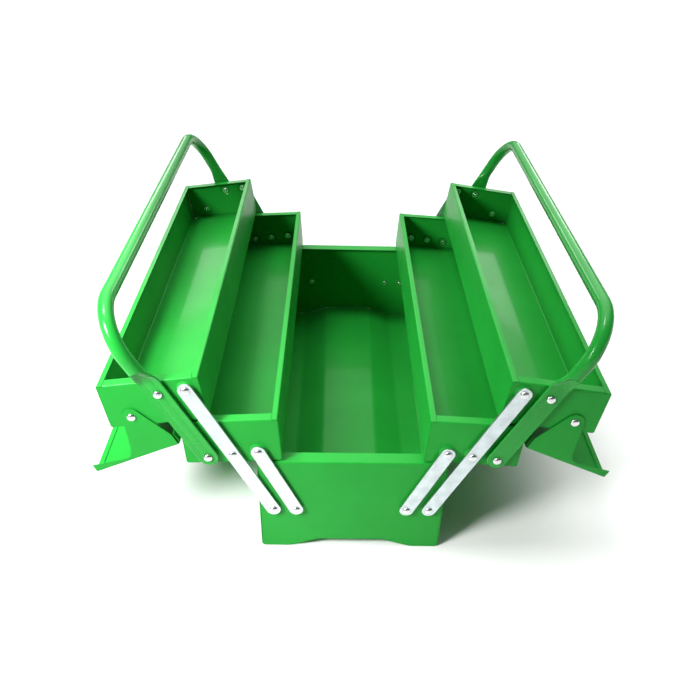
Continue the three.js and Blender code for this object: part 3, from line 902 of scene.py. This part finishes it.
def make_cover():
    """The cover lying shut: top sheet, eave, a folded edge at its tip and an ear at each end."""
    half = COVER_SHEET / 2
    top = COVER_TOP - half
    end = cover_face - half
    notch = end - COVER_RELIEF
    outline = ear_outline()
    eave_x = COVER_EAVE - half
    blank("cover", (-COVER_TIP, -end, top), (eave_x, end, top))
    for x, _ in outline:
        bpy.ops.mesh.select_all(action="SELECT")
        bpy.ops.mesh.bisect(plane_co=(x, 0, top), plane_no=(1, 0, 0))
    for y in (-notch, notch):
        bpy.ops.mesh.select_all(action="SELECT")
        bpy.ops.mesh.bisect(plane_co=(0, y, top), plane_no=(0, 1, 0))
    first, last = outline[0][0], outline[-1][0]
    pick("FACE", lambda m: not first < m.x < last and abs(m.y) > notch)
    bpy.ops.mesh.delete(type="FACE")

    pick("EDGE", lambda m: close_to(m.x, eave_x) and abs(m.y) < notch)
    pull(z=COVER_TOP - COVER_EAVE_DEPTH - top)
    pick("EDGE", lambda m: close_to(m.x, -COVER_TIP) and abs(m.y) < notch)
    pull(z=-COVER_FOLD)
    pull(x=COVER_HEM)
    for side in (-1, 1):
        pick("EDGE", lambda m: close_to(m.y, side * end))
        pull(z=-EAR_STUB)
        for x, z in outline:
            pick_at("VERT", x=x, y=side * end, z=top - EAR_STUB)
            slide(z=z - (top - EAR_STUB))
    pick_at("EDGE", x=eave_x, z=top)
    bend(HEM_BEND)
    pick("EDGE", lambda m: close_to(m.x, -COVER_TIP) and close_to(m.z, top) and abs(m.y) < notch)
    bend(COVER_FOLD_BEND, steps=4)
    pick_at("EDGE", x=-COVER_TIP, z=top - COVER_FOLD)
    bend(COVER_FOLD_BEND, steps=4)
    pick("EDGE", lambda m: close_to(abs(m.y), end) and close_to(m.z, top))
    bend(HEM_BEND)
    piece = close_shape()
    thicken(piece, COVER_SHEET)
    for y in (-end, end):
        drill(piece, [(0, y, 0)], reach=8)
    soften(piece, 0.14)
    return piece


# ------------------------------------------------------------------ making and setting out

long_foot = pin("base_right_front_long_rivet")
short_foot = pin("base_right_front_short_rivet")
mid_long = pin("right_mid_tray_front_long_rivet")
mid_short = pin("right_mid_tray_front_short_rivet")
mid_handle = pin("right_mid_tray_front_handle_rivet")
top_long = pin("right_top_tray_front_long_rivet")
top_handle = pin("right_top_tray_front_handle_rivet")
top_cover = pin("right_top_tray_front_cover_rivet")

AT_REST = Matrix.Identity(4)
mid_place = standing_at(mid_long, math.radians(MID_TILT))
top_place = standing_at(top_long, math.radians(TOP_TILT))
long_place = standing_at(long_foot, lean(long_foot, top_long))
short_place = standing_at(short_foot, lean(short_foot, mid_short))
handle_place = standing_at(mid_handle, lean(mid_handle, top_handle))
cover_place = standing_at(top_cover, math.radians(TOP_TILT + COVER_SWING))

long_length = (top_long - long_foot).length
short_length = (mid_short - short_foot).length
handle_span = (top_handle - mid_handle).length

base_body = make_base_body()
base_end = make_base_end([(s * p.x, p.y) for p in (long_foot, short_foot) for s in (-1, 1)])
set_in_place(base_body, "base_pan", AT_REST, green_enamel, "base", ["base_body"])
set_in_place(
    base_end, "base_front_panel", AT_REST, green_enamel, "base", ["base_front_end"],
)
set_in_place(
    base_end, "base_rear_panel", AT_REST, green_enamel, "base", ["base_rear_end"],
    left=True,
)

drains = [(TOP_WIDTH - DRAIN_INSET, y * (tray_face - DRAIN_INSET), 0) for y in (-1, 1)]
trays = {
    "mid": (
        make_tray_body("mid_body", MID_WIDTH, MID_HEIGHT, MID_PINS["long"]),
        make_tray_end("mid_end", MID_WIDTH, MID_HEIGHT, MID_PINS, MID_PINS["long"]),
        mid_place,
    ),
    "top": (
        make_tray_body("top_body", TOP_WIDTH, TOP_HEIGHT, TOP_PINS["long"], drains),
        make_tray_end("top_end", TOP_WIDTH, TOP_HEIGHT, TOP_PINS, TOP_PINS["long"]),
        top_place,
    ),
}
long_link = make_link("long_link", long_length, [0, (mid_long - long_foot).length, long_length])
short_link = make_link("short_link", short_length, [0, short_length])
links = (("long", long_link, long_place), ("short", short_link, short_place))
handle = make_handle(handle_span)
cover = make_cover()

# A left piece is a right one turned round, so its front end is the model's rear end
for side, left in (("right", False), ("left", True)):
    ends = (("front", REAR), ("rear", FRONT)) if left else (("front", FRONT), ("rear", REAR))
    for level, (body, panel, place) in trays.items():
        tray = f"{side}_{level}_tray"
        set_in_place(
            body, f"{tray}_pan", place, green_enamel, tray, [f"{tray}_body"], left=left,
        )
        for word, end in ends:
            set_in_place(
                panel, f"{tray}_{word}_panel", place, green_enamel, tray,
                [f"{tray}_{word}_end"], end, left,
            )
    for length, link, place in links:
        for word, end in ends:
            set_in_place(
                link, f"{side}_{word}_{length}_bar", place, bright_zinc,
                f"{side}_{length}_links", [f"{side}_{word}_{length}_link"], end, left,
            )
    set_in_place(
        handle, f"{side}_tube_handle", handle_place, handle_enamel, f"{side}_handle",
        [f"{side}_handle"], left=left,
    )
    set_in_place(
        cover, f"{side}_folded_cover", cover_place, green_enamel, f"{side}_cover",
        [f"{side}_cover"], left=left,
    )

base_inner = base_face - BASE_SHEET
tray_inner = tray_face - TRAY_SHEET
link_face = link_inside + LINK_THICKNESS
handle_face = link_inside + PLATE_THICKNESS
cover_inside = cover_face - COVER_SHEET
boss_top = TRAY_SHEET + BOSS_HEIGHT
rivets = {
    "base": make_rivet("base_rivet", BASE_SHEET, link_inside - base_inner, link_face - base_inner),
    "link": make_rivet("link_rivet", boss_top, link_inside - tray_inner, link_face - tray_inner),
    "handle": make_rivet(
        "handle_rivet", boss_top, link_inside - tray_inner, handle_face - tray_inner,
    ),
    "cover": make_rivet(
        "cover_rivet", TRAY_SHEET, cover_inside - tray_inner, cover_face - tray_inner,
    ),
}
for node in sorted(n for n in frame["nodes"] if n.endswith("_rivet")):
    on_base = node.startswith("base_")
    kind = "base" if on_base else node.split("_")[-2]
    kind = kind if kind in rivets else "link"
    at = pin(node)
    outwards = -1 if "_front_" in node else 1
    inner = base_inner if on_base else tray_inner
    place = (
        Matrix.Translation((at.x, outwards * inner, at.y))
        @ Matrix.Rotation(-outwards * math.pi / 2, 4, "X")
    )
    body = frame["nodes"][node]["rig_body"]
    name = node.replace("_rivet", "_domed_rivet")
    set_in_place(rivets[kind], name, place, rivet_steel, body, [node])

for model in models:
    bpy.data.objects.remove(model)

# ------------------------------------------------------------------ floor, light and camera


def make_floor():
    clear_selection()
    bpy.ops.mesh.primitive_plane_add(size=30, location=(0, 0, 0))
    floor = bpy.context.object
    floor.name = "floor"
    material, _, _ = bare_material(
        "pale_floor", Base_Color=(0.82, 0.83, 0.82, 1), Roughness=0.9, Specular_IOR_Level=0.1,
    )
    floor.data.materials.append(material)


def aim(data, place, target):
    light = bpy.data.objects.new(data.name, data)
    light.location = place
    light.rotation_euler = (Vector(target) - Vector(place)).to_track_quat("-Z", "Y").to_euler()
    bpy.context.scene.collection.objects.link(light)


def area_light(name, place, target, size, power):
    data = bpy.data.lights.new(name, "AREA")
    data.shape = "RECTANGLE"
    data.size, data.size_y = size
    data.energy = power
    aim(data, place, target)


def spot_light(name, place, target, spread_angle, radius, power):
    data = bpy.data.lights.new(name, "SPOT")
    data.spot_size = math.radians(spread_angle)
    data.spot_blend = 1.0
    data.shadow_soft_size = radius
    data.energy = power
    aim(data, place, target)


def sun_light(name, direction, softness, strength):
    data = bpy.data.lights.new(name, "SUN")
    data.energy = strength
    data.angle = math.radians(softness)
    aim(data, (0, 0, 0), -Vector(direction))


def soft_room(low, high, wall):
    """A plain room, brightest above and a little behind; only the camera sees its pale wall."""
    brightest, rim, core = (0.0, 0.5, 0.866), 0.6, 0.95
    world = bpy.data.worlds.new("soft_room")
    world.use_nodes = True
    tree = world.node_tree
    background = tree.nodes["Background"]
    background.inputs["Color"].default_value = (1, 1, 1, 1)
    place = tree.nodes.new("ShaderNodeTexCoord")
    towards = tree.nodes.new("ShaderNodeVectorMath")
    towards.operation = "DOT_PRODUCT"
    towards.inputs[1].default_value = brightest
    tree.links.new(place.outputs["Generated"], towards.inputs[0])
    strength = spread(tree, towards.outputs["Value"], rim, core, low, high)
    seen = tree.nodes.new("ShaderNodeLightPath").outputs["Is Camera Ray"]
    pale = new_node(tree, "ShaderNodeMath", operation="MULTIPLY_ADD")
    pale.inputs[1].default_value = wall
    tree.links.new(seen, pale.inputs[0])
    tree.links.new(strength, pale.inputs[2])
    tree.links.new(pale.outputs["Value"], background.inputs["Strength"])
    bpy.context.scene.world = world


def make_camera():
    place = (-0.0204, -0.8075, 0.6629)
    yaw, pitch, roll = 0.025, -0.6097, 0.0287
    ahead = Vector((
        math.sin(yaw) * math.cos(pitch), math.cos(yaw) * math.cos(pitch), math.sin(pitch),
    ))
    level = Vector((math.cos(yaw), -math.sin(yaw), 0))
    above = level.cross(ahead)
    right = level * math.cos(roll) + above * math.sin(roll)
    up = above * math.cos(roll) - level * math.sin(roll)
    camera = bpy.data.objects.new("camera", bpy.data.cameras.new("camera"))
    turn = Matrix((right, up, -ahead)).transposed().to_4x4()
    camera.matrix_world = Matrix.Translation(place) @ turn
    camera.data.sensor_width = 36
    camera.data.lens = 37.74
    camera.data.clip_start = 0.05
    camera.data.clip_end = 100
    bpy.context.scene.collection.objects.link(camera)
    bpy.context.scene.camera = camera


make_floor()
soft_room(0.10, 2.7, 0.75)
sun_light("window", (-0.30, 0.05, 1.0), 16, 1.2)
spot_light("key", (-0.66, -0.68, 0.72), (-0.24, -0.24, 0.22), 54, 0.16, 82)
spot_light("lamp", (-0.40, -0.22, 0.75), (-0.23, -0.15, 0.25), 30, 0.10, 19)
area_light("back_left", (-0.85, 2.0, 1.05), (0, 0, 0.15), (0.6, 0.4), 5)
area_light("back_right", (0.95, 2.0, 1.05), (0, 0, 0.15), (0.6, 0.4), 5)
make_camera()
bpy.context.scene.view_settings.view_transform = "Standard"
